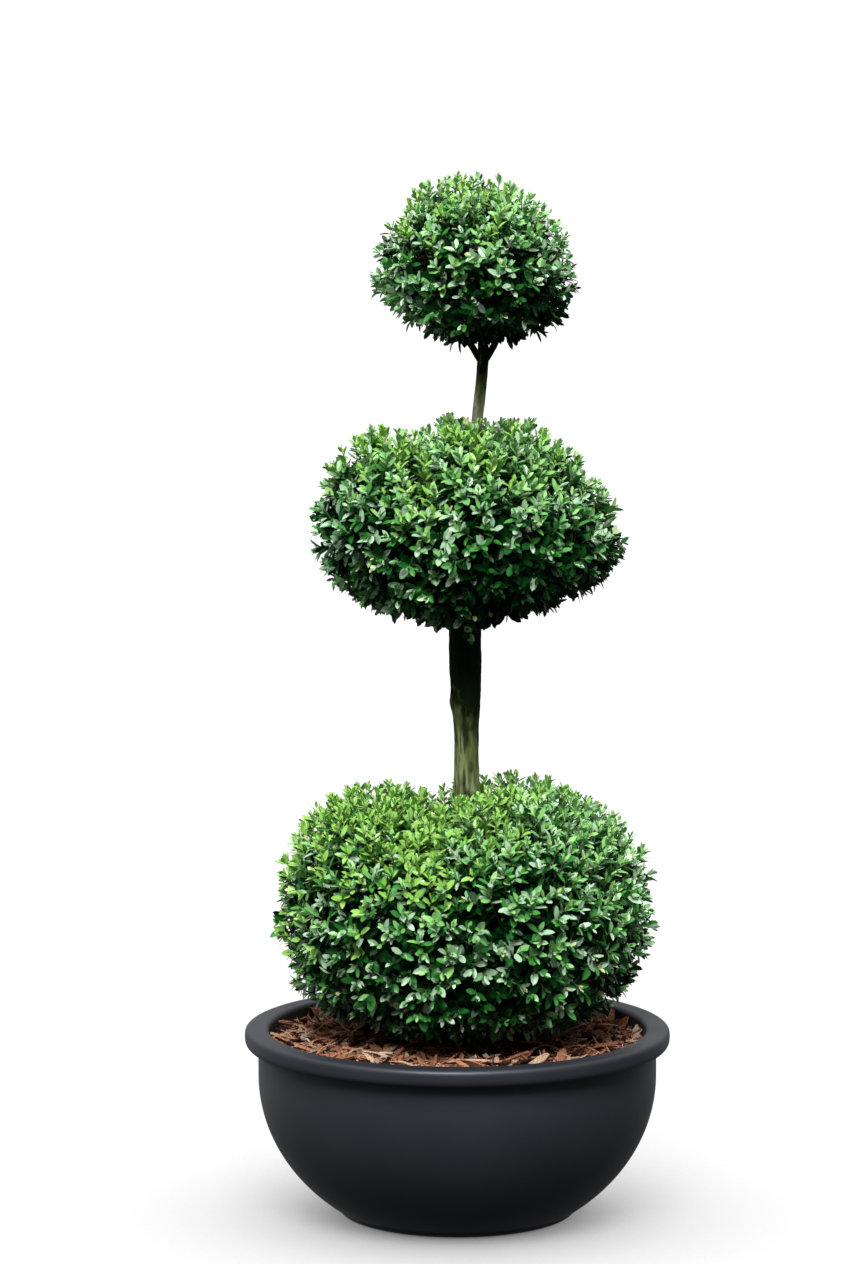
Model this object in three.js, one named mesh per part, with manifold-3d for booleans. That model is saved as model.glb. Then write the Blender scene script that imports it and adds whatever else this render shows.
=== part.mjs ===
// A potted boxwood clipped into three tiers: a bowl planter filled with soil and bark mulch, one leaning
// trunk that runs up through the tiers, two boughs under the top one, and a mass of foliage for each tier.
// Millimetres, +Z up. The origin is the middle of the planter's flat underside.
import * as THREE from "three";
import { mergeVertices } from "three/addons/utils/BufferGeometryUtils.js";
import Module from "manifold-3d";

const wasm = await Module();
wasm.setup();

// Driving dimensions
const CLEARANCE = 0.3; // gap between pieces that seat on each other
const LIMB_CLEARANCE = 0.36; // the same round a limb, with room for its facets
const SMALLEST_DETAIL = 0.03; // slivers thinner than this are smoothed away

const planter = {
  height: 269,
  rimRadius: 300,
  rimWidest: 258, // height of the rim's widest line
  rimFoot: 242, // height where the rim's bead meets the bowl
  rimCrown: 11, // how far the top of the bead rounds in from the widest line
  rimPower: 3, // over 2, so that the bead's section is squarer than an ellipse
  rimInnerRound: 6,
  bodyRadius: 281,
  shoulder: 201, // the wall is straight above this height and an ellipse below it
  bowlDepth: 238, // half-height of that ellipse
  footRound: 10,
  wall: 15,
  floor: 16,
  sides: 32,
};

const soil = { top: 235 };

const mulch = {
  top: 251,
  swell: 3, // height of the slow waves in the surface
  waves: [61, 47, 29], // lengths that set how slow they are
  chips: 20,
  chipLength: [30, 62],
  chipWidth: [9, 16],
  chipThickness: 6,
  rings: 4,
  seed: 5,
};

const trunk = {
  footRadius: 29, // at the soil, with the root flare
  flareHeight: 26,
  lowRadius: 17.4, // between the lowest and the middle tier
  swellRadius: 22.4, // under the middle tier, where its limbs leave the trunk
  upperRadius: 7.9, // between the middle and the top tier
  tipRadius: 4,
  swellFrom: 680,
  swellFull: 790,
  taperFrom: 840,
  taperEnd: 1106,
  forkHeight: 1208,
  tipHeight: 1325,
  flareLobes: 5,
  lobeDepth: 0.14, // share of the radius
  grooveDepth: 0.16, // share of the radius
  grooveWidth: 0.34, // radians
  grooveTurn: -1.82, // radians from +X, so it faces the front, a little to the left
  sides: 12,
  rings: 22,
};

// The trunk's lean: sideways places of its middle at a few heights.
const trunkLean = [
  { height: soil.top + CLEARANCE, x: 10, y: 0 },
  { height: 640, x: 13, y: 0 },
  { height: 830, x: 11, y: 0 },
  { height: trunk.taperEnd, x: 24.5, y: 0 },
  { height: 1215, x: 35, y: 0 },
  { height: trunk.tipHeight, x: 30, y: 0 },
];

const bough = { length: 82, baseRadius: 5.4, tipRadius: 3.4, rise: 63, bend: 7, sides: 8, rings: 6 };
const boughs = [
  { name: "bough_left", turn: 190 },
  { name: "bough_right", turn: 12 },
];

// Each tier's outline: where it is widest, its radius there, and how far it rises and drops from there.
// A cleft runs over its top from front to back. Swellings are shares of the reach. Angles are in degrees.
const tiers = [
  {
    name: "foliage_low",
    x: 9.5,
    widest: 436,
    radius: 265,
    rise: 197,
    drop: 170,
    squareness: 2.5,
    cleft: { depth: 42, lean: -17, spread: 17 },
    swellings: [
      { turn: 0, lean: -5, size: 0.045 },
      { turn: 0, lean: 48, size: -0.028 },
      { turn: 180, lean: 53, size: 0.03 },
      { turn: 180, lean: -5, size: -0.008 },
    ],
    shell: 27, // depth of the leaves outside the core
    leaf: 62,
    sprays: 51,
    seed: 11,
  },
  {
    name: "foliage_middle",
    x: 12,
    widest: 959,
    radius: 206,
    rise: 190,
    drop: 114,
    squareness: 2,
    cleft: { depth: 27, lean: -24, spread: 13 },
    swellings: [
      { turn: 180, lean: 37, size: 0.11 },
      { turn: 0, lean: -10, size: 0.17 },
      { turn: 0, lean: 12, size: -0.05 },
      { turn: 0, lean: -43, size: -0.17 },
      { turn: 0, lean: -85, size: 0.07 },
    ],
    shell: 25,
    leaf: 59,
    sprays: 35,
    seed: 23,
  },
  {
    name: "foliage_top",
    x: 22.8,
    widest: 1327,
    radius: 141,
    rise: 146,
    drop: 95,
    squareness: 2.05,
    cleft: { depth: 3, lean: 3, spread: 20 },
    swellings: [
      { turn: 180, lean: -28, size: -0.09 },
      { turn: 180, lean: 12, size: 0.04 },
      { turn: 180, lean: 38, size: -0.04 },
      { turn: 180, lean: 66, size: 0.05 },
      { turn: 0, lean: 50, size: -0.04 },
      { turn: 0, lean: -33, size: 0.11 },
      { turn: 0, lean: -72, size: -0.14 },
    ],
    shell: 21,
    leaf: 50,
    sprays: 24,
    seed: 37,
  },
];

const outline = { lumps: 0.03, swellingSpread: 29 }; // a share of the reach, and degrees
const core = { across: 18, up: 10 }; // facets of a core
const shoot = { baseRadius: 3.6, tipRadius: 2.6, sink: 9, bare: 9, rise: 0.2, wander: 0.12 };
const leaf = {
  width: 0.56, // share of its length
  widest: 0.55,
  thickness: 0.045,
  fold: 0.09,
  droop: 0.06,
  sink: 0.6, // length of its root beyond the middle of the shoot
  young: 0.44, // length of the leaf at a shoot's end, as a share of the others
  sizes: [1.08, 0.98, 0.88, 0.78, 0.68, 0.6], // the longest of these that stays in the outline is grown
  limbGap: 4, // a leaf nearer than this to a limb is left out
};
const PAIRS = [
  { along: 0.55, splay: 75, turn: 0 },
  { along: 0.9, splay: 68, turn: 90 },
];

// Helpers

function numbersFrom(seed) {
  let state = seed;
  return (low = 0, high = 1) => {
    state += 1;
    return low + (high - low) * THREE.MathUtils.seededRandom(state * 7919);
  };
}

// A closed geometry as a solid that can be joined and cut.
function solidOf(geometry) {
  const plain = new THREE.BufferGeometry();
  plain.setAttribute("position", geometry.getAttribute("position"));
  plain.setIndex(geometry.index);
  const merged = mergeVertices(plain, 1e-3);
  const corners = merged.index.array;
  const kept = [];
  for (let i = 0; i < corners.length; i += 3) {
    const [a, b, c] = [corners[i], corners[i + 1], corners[i + 2]];
    if (a !== b && b !== c && c !== a) kept.push(a, b, c);
  }
  return new wasm.Manifold(
    new wasm.Mesh({
      numProp: 3,
      vertProperties: merged.attributes.position.array,
      triVerts: new Uint32Array(kept),
    }),
  );
}

// The largest body of a solid, without sealed hollows and loose scraps, as a geometry.
function geometryOf(solid) {
  const bodies = solid.simplify(SMALLEST_DETAIL).decompose();
  const largest = bodies.reduce((best, body) => (body.volume() > best.volume() ? body : best));
  const mesh = largest.getMesh();
  const geometry = new THREE.BufferGeometry();
  geometry.setAttribute("position", new THREE.BufferAttribute(new Float32Array(mesh.vertProperties), 3));
  geometry.setIndex(new THREE.BufferAttribute(new Uint32Array(mesh.triVerts), 1));
  geometry.computeVertexNormals();
  return geometry;
}

// A solid of revolution about +Z from [radius, height] points that start and end on the axis.
function turned(points) {
  const profile = points.map(([radius, height]) => new THREE.Vector2(radius, height));
  return new THREE.LatheGeometry(profile, planter.sides).rotateX(Math.PI / 2);
}

// Points of the rim's curve, a squared ellipse, from angle start to angle end in degrees.
function rimArc(centre, halfAcross, halfUp, start, end, steps) {
  const squared = (value) => Math.sign(value) * Math.abs(value) ** (2 / planter.rimPower);
  return Array.from({ length: steps + 1 }, (_, i) => {
    const angle = THREE.MathUtils.degToRad(THREE.MathUtils.lerp(start, end, i / steps));
    return [centre[0] + halfAcross * squared(Math.cos(angle)), centre[1] + halfUp * squared(Math.sin(angle))];
  });
}

// Planter, soil and mulch

// The ellipse of the bowl at a height, for the outside (inset 0) or the inside.
function bowlRadius(height, inset) {
  const depth = Math.max(0, planter.shoulder - height) / (planter.bowlDepth - inset);
  return (planter.bodyRadius - inset) * Math.sqrt(1 - depth * depth);
}

function bowlSide(from, to, inset, steps) {
  const start = Math.asin((planter.shoulder - from) / (planter.bowlDepth - inset));
  const end = Math.asin((planter.shoulder - to) / (planter.bowlDepth - inset));
  return Array.from({ length: steps + 1 }, (_, i) => {
    const angle = THREE.MathUtils.lerp(start, end, i / steps);
    return [
      (planter.bodyRadius - inset) * Math.cos(angle),
      planter.shoulder - (planter.bowlDepth - inset) * Math.sin(angle),
    ];
  });
}

const INSIDE_STEPS = 4;

function planterGeometry() {
  const { height, rimRadius, rimWidest, rimFoot, rimCrown, rimInnerRound } = planter;
  const { bodyRadius, footRound, wall } = planter;
  const inside = bodyRadius - wall;
  return turned([
    [0, 0],
    [bowlRadius(0, 0) - footRound, 0],
    ...bowlSide(footRound, planter.shoulder, 0, 5),
    ...rimArc([bodyRadius, rimWidest], rimRadius - bodyRadius, rimWidest - rimFoot, -90, 0, 3),
    ...rimArc([rimRadius - rimCrown, rimWidest], rimCrown, height - rimWidest, 30, 90, 2),
    [inside + rimInnerRound, height],
    [inside, height - rimInnerRound],
    ...bowlSide(planter.shoulder, planter.floor, wall, INSIDE_STEPS),
    [0, planter.floor],
  ]);
}

function soilGeometry() {
  const side = bowlSide(planter.floor, planter.shoulder, planter.wall, INSIDE_STEPS);
  const inside = side.map(([radius, height]) => [radius - 1.4 * CLEARANCE, height + CLEARANCE]);
  const topRadius = inside[inside.length - 1][0];
  return turned([[0, planter.floor + CLEARANCE], ...inside, [topRadius, soil.top], [0, soil.top]]);
}

const mulchRadius = planter.bodyRadius - planter.wall - CLEARANCE;

function mulchHeight(x, y) {
  const [long, middling, short] = mulch.waves;
  const slow = Math.sin(x / long + 0.7) * Math.cos(y / middling);
  return mulch.top + mulch.swell * (slow + 0.5 * Math.sin((x - y) / short));
}

function mulchBed() {
  const bottom = soil.top + CLEARANCE;
  const shares = Array.from({ length: mulch.rings + 1 }, (_, i) => 1 - i / mulch.rings);
  const rings = shares.map((share) => [mulchRadius * share, mulch.top]);
  const bed = turned([[0, bottom], [mulchRadius, bottom], ...rings]);
  const place = bed.getAttribute("position");
  for (let i = 0; i < place.count; i += 1) {
    if (place.getZ(i) > bottom + 1) place.setZ(i, mulchHeight(place.getX(i), place.getY(i)));
  }
  return solidOf(bed);
}

// One splinter of bark, pointed at one end, lying on the bed.
function barkChip(random, index) {
  const length = random(...mulch.chipLength);
  const thickness = mulch.chipThickness * random(0.6, 1);
  const chip = new THREE.BoxGeometry(length, random(...mulch.chipWidth), thickness);
  const place = chip.getAttribute("position");
  const taper = random(0.25, 0.7);
  for (let i = 0; i < place.count; i += 1) {
    if (place.getX(i) > 0) place.setY(i, place.getY(i) * taper);
  }
  const innermost = trunk.footRadius + length;
  const outermost = mulchRadius - length / 2 - 6;
  const away = Math.sqrt(THREE.MathUtils.lerp((innermost / outermost) ** 2, 1, random())) * outermost;
  const turn = index * THREE.MathUtils.degToRad(137.5);
  const [x, y] = [away * Math.cos(turn), away * Math.sin(turn)];
  chip.applyMatrix4(
    new THREE.Matrix4()
      .makeRotationFromEuler(new THREE.Euler(random(-0.25, 0.25), random(-0.09, 0.09), random(0, Math.PI)))
      .setPosition(x, y, mulchHeight(x, y) + 1),
  );
  return solidOf(chip);
}

function mulchGeometry(limbSpace) {
  const random = numbersFrom(mulch.seed);
  const chips = Array.from({ length: mulch.chips }, (_, i) => barkChip(random, i));
  return geometryOf(wasm.Manifold.union([mulchBed(), ...chips]).subtract(limbSpace));
}

// Trunk and boughs

// A tapering limb along a curve. Level limbs have level rings, so that their foot is a flat cut.
function limb(curve, radiusAt, sides, rings, level) {
  const geometry = new THREE.CylinderGeometry(1, 1, 1, sides, rings);
  const place = geometry.getAttribute("position");
  const up = new THREE.Vector3(0, 0, 1);
  for (let i = 0; i < place.count; i += 1) {
    const share = place.getY(i) + 0.5;
    const middle = curve.getPoint(share);
    const along = level ? up : curve.getTangent(share);
    const across = new THREE.Vector3(1, 0, 0).addScaledVector(along, -along.x).normalize();
    const forward = new THREE.Vector3().crossVectors(across, along);
    const turn = Math.atan2(-place.getZ(i), place.getX(i));
    const radius = radiusAt(share, middle.z, turn);
    middle.addScaledVector(across, place.getX(i) * radius).addScaledVector(forward, place.getZ(i) * radius);
    place.setXYZ(i, middle.x, middle.y, middle.z);
  }
  return geometry;
}

const trunkLine = new THREE.CatmullRomCurve3(trunkLean.map((at) => new THREE.Vector3(at.x, at.y, at.height)));

// The trunk's mean radius at a height.
function trunkRadius(height) {
  const { smoothstep, lerp } = THREE.MathUtils;
  const swelling = smoothstep(height, trunk.swellFrom, trunk.swellFull);
  const swollen = lerp(trunk.lowRadius, trunk.swellRadius, swelling);
  const tapered = lerp(swollen, trunk.upperRadius, smoothstep(height, trunk.taperFrom, trunk.taperEnd));
  const tipped = lerp(tapered, trunk.tipRadius, smoothstep(height, trunk.forkHeight, trunk.tipHeight));
  const overFoot = height - trunkLean[0].height;
  return tipped + (trunk.footRadius - trunk.lowRadius) * Math.exp(-overFoot / trunk.flareHeight);
}

// The trunk's radius at a height and turn: root lobes at the foot and a groove between its two fused stems.
function trunkSurface(height, turn) {
  const nearFoot = Math.exp(-(height - trunkLean[0].height) / trunk.flareHeight);
  const lobes = 1 + trunk.lobeDepth * nearFoot * Math.cos(trunk.flareLobes * turn);
  const aside = Math.atan2(Math.sin(turn - trunk.grooveTurn), Math.cos(turn - trunk.grooveTurn));
  const fluted = 1 - THREE.MathUtils.smoothstep(height, trunk.taperFrom, trunk.taperEnd);
  const groove = 1 - trunk.grooveDepth * fluted * Math.exp(-((aside / trunk.grooveWidth) ** 2));
  return trunkRadius(height) * lobes * groove;
}

function trunkGeometry(grow) {
  const radiusAt = (_, height, turn) => trunkSurface(height, turn) + grow;
  return limb(trunkLine, radiusAt, trunk.sides, trunk.rings, true);
}

// The middle of the trunk at a height, found by halving.
function trunkMiddle(height) {
  let [low, high] = [0, 1];
  for (let i = 0; i < 24; i += 1) {
    const halfway = (low + high) / 2;
    if (trunkLine.getPoint(halfway).z < height) low = halfway;
    else high = halfway;
  }
  return trunkLine.getPoint(low);
}

// A bough's line: it leaves the trunk's middle at the fork and bends upwards.
function boughLine(turn) {
  const start = trunkMiddle(trunk.forkHeight);
  const [bearing, rise] = [THREE.MathUtils.degToRad(turn), THREE.MathUtils.degToRad(bough.rise)];
  const outward = new THREE.Vector3(Math.cos(bearing), Math.sin(bearing), 0);
  const end = start.clone().addScaledVector(outward, bough.length * Math.cos(rise));
  end.z += bough.length * Math.sin(rise);
  const half = start.clone().lerp(end, 0.5).addScaledVector(outward, bough.bend);
  return new THREE.QuadraticBezierCurve3(start, half, end);
}

function boughGeometry(turn, grow) {
  const radiusAt = (share) => THREE.MathUtils.lerp(bough.baseRadius, bough.tipRadius, share) + grow;
  return limb(boughLine(turn), radiusAt, bough.sides, bough.rings, false);
}

// Foliage

// The direction with a turn from +X and a lean up from level, in degrees.
function wayOf({ turn, lean }) {
  const [bearing, rise] = [THREE.MathUtils.degToRad(turn), THREE.MathUtils.degToRad(lean)];
  const level = Math.cos(rise);
  return new THREE.Vector3(level * Math.cos(bearing), level * Math.sin(bearing), Math.sin(rise));
}

const bell = (degrees, spread) => Math.exp(-((degrees / spread) ** 2));

// How far a tier's outline lies from the middle of its widest line, in a direction.
function reach(tier, direction) {
  const { radToDeg, clamp } = THREE.MathUtils;
  const { cleft, squareness } = tier;
  const level = Math.hypot(direction.x, direction.y) / tier.radius;
  const upright = Math.abs(direction.z) / (direction.z > 0 ? tier.rise : tier.drop);
  const plain = (level ** squareness + upright ** squareness) ** (-1 / squareness);
  const bearing = Math.atan2(direction.y, direction.x);
  const lean = Math.asin(clamp(direction.z, -1, 1));
  const lump = Math.sin(3 * bearing + tier.seed) * Math.cos(2 * lean) + Math.sin(5 * bearing + 4 * lean);
  const fromCleft = radToDeg(Math.atan2(direction.x, direction.z)) - cleft.lean;
  const hollow = (cleft.depth / tier.rise) * bell(fromCleft, cleft.spread) * Math.max(0, direction.z);
  const swollen = tier.swellings.map((at) => {
    return at.size * bell(radToDeg(direction.angleTo(wayOf(at))), outline.swellingSpread);
  });
  const swelling = swollen.reduce((sum, size) => sum + size, 0);
  return plain * (1 + (outline.lumps * lump) / 2 - hollow + swelling);
}

const tierMiddle = (tier) => new THREE.Vector3(tier.x, 0, tier.widest);

function inOutline(tier, point) {
  const from = point.clone().sub(tierMiddle(tier));
  return from.length() <= reach(tier, from.clone().normalize());
}

function clearOfLimbs(point) {
  const nearTrunk = trunkMiddle(Math.min(point.z, trunk.tipHeight));
  if (point.distanceTo(nearTrunk) < trunkRadius(nearTrunk.z) + leaf.limbGap) return false;
  return boughs.every(({ turn }) =>
    boughLine(turn)
      .getPoints(8)
      .every((at) => at.distanceTo(point) > bough.baseRadius + leaf.limbGap),
  );
}

function coreSolid(tier) {
  const ball = new THREE.SphereGeometry(1, core.across, core.up).rotateX(Math.PI / 2);
  const place = ball.getAttribute("position");
  const direction = new THREE.Vector3();
  for (let i = 0; i < place.count; i += 1) {
    direction.fromBufferAttribute(place, i).normalize();
    const at = tierMiddle(tier).addScaledVector(direction, reach(tier, direction) - tier.shell);
    place.setXYZ(i, at.x, at.y, at.z);
  }
  return solidOf(ball);
}

// One leaf: a folded kite of eight faces, from its root along a direction, with its face towards facing.
function leafGeometry(root, direction, facing, length) {
  const geometry = new THREE.OctahedronGeometry(length, 0);
  const place = geometry.getAttribute("position");
  for (let i = 0; i < place.count; i += 1) {
    const [x, y, z] = [place.getX(i), place.getY(i), place.getZ(i)].map((value) => value / length);
    const along = y === 0 ? leaf.widest : (y + 1) / 2;
    const lift = leaf.fold * Math.abs(x) - leaf.droop * Math.max(0, y) + (leaf.thickness / 2) * z;
    place.setXYZ(i, (x * length * leaf.width) / 2, along * length, lift * length);
  }
  const face = facing.clone().addScaledVector(direction, -facing.dot(direction)).normalize();
  const across = new THREE.Vector3().crossVectors(direction, face);
  const start = root.clone().addScaledVector(direction, -leaf.sink);
  return geometry.applyMatrix4(new THREE.Matrix4().makeBasis(across, direction, face).setPosition(start));
}

function fits(tier, geometry, root) {
  const place = geometry.getAttribute("position");
  const corner = new THREE.Vector3();
  for (let i = 0; i < place.count; i += 1) {
    corner.fromBufferAttribute(place, i);
    if (!inOutline(tier, corner) || !clearOfLimbs(corner)) return false;
    if (!clearOfLimbs(corner.lerp(root, 0.5))) return false;
  }
  return true;
}

// The part of a shoot that stands out of the core: a three-sided twig from inside the core to its tip.
function twigGeometry(base, tip) {
  const along = tip.clone().sub(base);
  const twig = new THREE.CylinderGeometry(shoot.tipRadius, shoot.baseRadius, along.length(), 3, 1);
  twig.translate(0, along.length() / 2, 0);
  const turn = new THREE.Quaternion().setFromUnitVectors(new THREE.Vector3(0, 1, 0), along.normalize());
  return twig.applyQuaternion(turn).translate(base.x, base.y, base.z);
}

// The way out of a tier's surface, square to its outline.
function outwards(tier, direction) {
  const upright = direction.z > 0 ? tier.rise : tier.drop;
  const squares = new THREE.Vector3(tier.radius ** 2, tier.radius ** 2, upright ** 2);
  return direction.clone().divide(squares).normalize();
}

// A spray: one shoot of the tier's stem with its leaves, in crossed pairs and one young leaf at the end.
function spray(tier, direction, random) {
  const coreDistance = reach(tier, direction) - tier.shell;
  const base = tierMiddle(tier).addScaledVector(direction, coreDistance - shoot.sink);
  const growth = outwards(tier, direction);
  growth.add(new THREE.Vector3(random(-1, 1), random(-1, 1), random(-1, 1)).multiplyScalar(shoot.wander));
  growth.z += shoot.rise * (1 - direction.z);
  growth.normalize();
  const tip = base.clone().addScaledVector(growth, shoot.sink + shoot.bare);
  const twig = twigGeometry(base, tip);
  if (!fits(tier, twig, base)) return [];
  const solids = [solidOf(twig)];
  const add = (root, way, facing, size) => {
    const lengths = leaf.sizes.map((share) => share * size * tier.leaf);
    const made = lengths.map((length) => leafGeometry(root, way, facing, length));
    const longest = made.find((geometry) => fits(tier, geometry, root));
    if (longest) solids.push(solidOf(longest));
  };
  const twist = random(0, Math.PI);
  const aside = new THREE.Vector3(0, 0, 1).cross(growth).normalize().applyAxisAngle(growth, twist);
  for (const pair of PAIRS) {
    const root = base.clone().addScaledVector(growth, shoot.sink + shoot.bare * pair.along);
    for (const side of [0, 180]) {
      const bearing = THREE.MathUtils.degToRad(pair.turn + side + random(-12, 12));
      const out = aside.clone().applyAxisAngle(growth, bearing);
      const splay = THREE.MathUtils.degToRad(pair.splay + random(-8, 8));
      const way = growth.clone().multiplyScalar(Math.cos(splay)).addScaledVector(out, Math.sin(splay));
      add(root, way, growth, random(0.9, 1));
    }
  }
  add(tip, growth, aside, leaf.young);
  return solids;
}

// Directions spread evenly over a tier, by the golden angle.
function sprayDirections(tier, random) {
  const golden = Math.PI * (3 - Math.sqrt(5));
  return Array.from({ length: tier.sprays }, (_, i) => {
    const height = 1 - (2 * i + 1) / tier.sprays;
    const level = Math.sqrt(1 - height * height);
    const turn = i * golden + random(-0.12, 0.12);
    const upright = height > 0 ? tier.rise : tier.drop;
    return new THREE.Vector3(
      tier.radius * level * Math.cos(turn),
      tier.radius * level * Math.sin(turn),
      upright * height,
    ).normalize();
  });
}

function foliageGeometry(tier, limbSpace) {
  const random = numbersFrom(tier.seed);
  const sprays = sprayDirections(tier, random).flatMap((direction) => spray(tier, direction, random));
  return geometryOf(wasm.Manifold.union([coreSolid(tier), ...sprays]).subtract(limbSpace));
}

// Assembly

const finish = {
  planter: { color: 0x2b2c30, roughness: 0.55 },
  soil: { color: 0x2e211a, roughness: 1 },
  mulch: { color: 0x53382a, roughness: 0.9 },
  bark: { color: 0x6e7356, roughness: 0.85 },
  foliage: { color: 0x3f7434, roughness: 0.45 },
};

function mesh(name, geometry, { color, roughness }) {
  const material = new THREE.MeshStandardMaterial({ color, roughness, metalness: 0, flatShading: true });
  const made = new THREE.Mesh(geometry, material);
  made.name = name;
  return made;
}

const trunkSpace = solidOf(trunkGeometry(LIMB_CLEARANCE));
const limbSpace = wasm.Manifold.union([
  trunkSpace,
  ...boughs.map(({ turn }) => solidOf(boughGeometry(turn, LIMB_CLEARANCE))),
]);

const pot = new THREE.Group();
pot.add(mesh("planter", planterGeometry(), finish.planter));
pot.add(mesh("soil", soilGeometry(), finish.soil));
pot.add(mesh("mulch", mulchGeometry(limbSpace), finish.mulch));

const wood = new THREE.Group();
wood.add(mesh("trunk", trunkGeometry(0), finish.bark));
for (const { name, turn } of boughs) {
  const seated = solidOf(boughGeometry(turn, 0)).subtract(trunkSpace);
  wood.add(mesh(name, geometryOf(seated), finish.bark));
}

const crown = new THREE.Group();
for (const tier of tiers) crown.add(mesh(tier.name, foliageGeometry(tier, limbSpace), finish.foliage));

const topiary = new THREE.Group();
topiary.add(pot, wood, crown);

export default topiary;
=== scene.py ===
"""A potted boxwood clipped into three tiers: its looks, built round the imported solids.

The plant's lengths are in millimetres, and those of materials, stage and camera in metres. Angles are in
degrees, but random strays of angles and the trunk's groove are in radians. The planter stands on z = 0, with
its front towards -Y.
"""
import math
from types import SimpleNamespace as Values

import bpy
import numpy as np
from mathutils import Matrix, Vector, noise


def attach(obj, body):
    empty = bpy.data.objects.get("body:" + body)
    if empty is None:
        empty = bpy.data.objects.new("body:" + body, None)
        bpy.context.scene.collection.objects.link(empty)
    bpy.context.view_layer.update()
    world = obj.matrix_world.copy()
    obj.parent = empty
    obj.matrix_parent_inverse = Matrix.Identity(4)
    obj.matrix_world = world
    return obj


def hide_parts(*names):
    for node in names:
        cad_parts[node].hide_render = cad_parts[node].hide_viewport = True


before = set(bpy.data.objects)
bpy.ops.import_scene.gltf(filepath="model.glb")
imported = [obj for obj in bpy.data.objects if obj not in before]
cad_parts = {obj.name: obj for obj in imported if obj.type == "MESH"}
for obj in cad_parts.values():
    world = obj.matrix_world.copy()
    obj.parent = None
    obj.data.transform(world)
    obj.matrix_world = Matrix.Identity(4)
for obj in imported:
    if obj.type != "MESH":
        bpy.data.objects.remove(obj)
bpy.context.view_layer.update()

MM = 0.001
TINY = 1e-9
NEARLY_UPRIGHT = 0.9
SIDEWAYS = np.array([1.0, 0.0, 0.0])
UP = np.array([0.0, 0.0, 1.0])
FULL_TURN = 2 * math.pi
GOLDEN = math.pi * (3 - math.sqrt(5))
WHITE = (1, 1, 1, 1)

# Planter: its outline, then its mesh, with the points below the rim and the angles of the rim's two curves
pot = Values(
    height=269, rim_radius=300, rim_widest=258, rim_foot=242, rim_crown=11, rim_power=3, inner_round=6,
    body_radius=281, shoulder=201, bowl_depth=238, foot_round=10, wall=15, floor=16,
    sides=160, side_steps=40, foot_steps=8, rim_steps=20, inner_steps=6, lining_steps=16, axis=0.01,
    below_rim=(14, 1), under_rim=(-89, 0), over_rim=(4, 90),
)

# Mulch: the waves of its top, how it falls to the wall, and the bed under the strips of bark
mulch = Values(
    seed=5, top=251, swell=3, waves=(61, 47, 29), wave_start=0.7, short_wave=0.5,
    edge_from=225, edge=264, edge_fall=8, bare_middle=30,
    bed_depth=9, bed_gap=0.4, bed_inner=20, bed_rings=40, bed_sides=120, bed_lumps=1.5,
)
chip = Values(count=640, length=(24, 84), width=(5, 15), depth=(2, 5))
fibre = Values(count=2300, length=(14, 66), width=(1.0, 3.4), depth=(0.8, 2.2))
# A strip: stations along it, their least and most girth, the corners of its section, how it lies and bends
strip = Values(
    stations=np.array([-0.5, -0.28, 0.0, 0.25, 0.5]),
    thinnest=[0.15, 0.75, 0.85, 0.7, 0.1], thickest=[0.6, 1.0, 1.1, 1.0, 0.5],
    corners=np.array([[-1, -1], [1, -0.8], [0.9, 1], [-0.8, 0.9]]) / 2,
    shortness=1.2, pitch=0.33, roll=0.75, bow=0.14, sway=0.12, lift=8, wall_gap=2, below_rim=3,
)

trunk = Values(
    foot=235.3, tip=1325, foot_radius=29, flare_height=26, low_radius=17.4, swell_radius=22.4,
    upper_radius=7.9, tip_radius=4, swell_from=680, swell_full=790, taper_from=840, taper_end=1106, fork=1208,
    lobes=5, lobe_depth=0.14, groove_depth=0.14, groove_width=0.2, groove_turn=-1.82, groove_shade=0.5,
    sides=48, step=2.5, grains=(11, 3.5), bark_depth=3, bark_share=0.15,
)
# The trunk's sideways place at a few heights
trunk_lean = [(trunk.foot, 10), (640, 13), (830, 11), (trunk.taper_end, 24.5), (1215, 35), (trunk.tip, 30)]
# Where the trunk is pale: on its lit left side below one height, as painted light, round its foot, and on its
# neck, less on the right as painted shade
pale_and_lit = Values(
    left=(-0.1, 0.7), below=(650, 720), foot=(610, 670),
    neck=(1090, 1130), neck_end=(1145, 1200), neck_right=0.6,
)
knob = Values(height=732, length=14, turn=180, spread=40, size=3.4)
# Raised pale strips on the trunk's left front: where they are, and how far apart
ribs = Values(height=674, length=14, turn=234, spread=16, pitch=12)

bough = Values(
    length=82, base_radius=5.4, tip_radius=3.4, rise=63, bend=7,
    rings=40, sides=24, grains=(7, 2.5), bark_depth=1.0,
)
BOUGH_TURNS = {"bough_left": 190, "bough_right": 12}

# Relief of the bark in two layers, long fissures and finer cracks, each stretched upwards
bark_noise = Values(
    mean=0.5, fall=1.0, finer=2.1,
    layers=[
        Values(stretch=6, start=0, depth=0.55, octaves=3),
        Values(stretch=4, start=9, depth=0.22, octaves=2),
    ],
)
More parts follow.
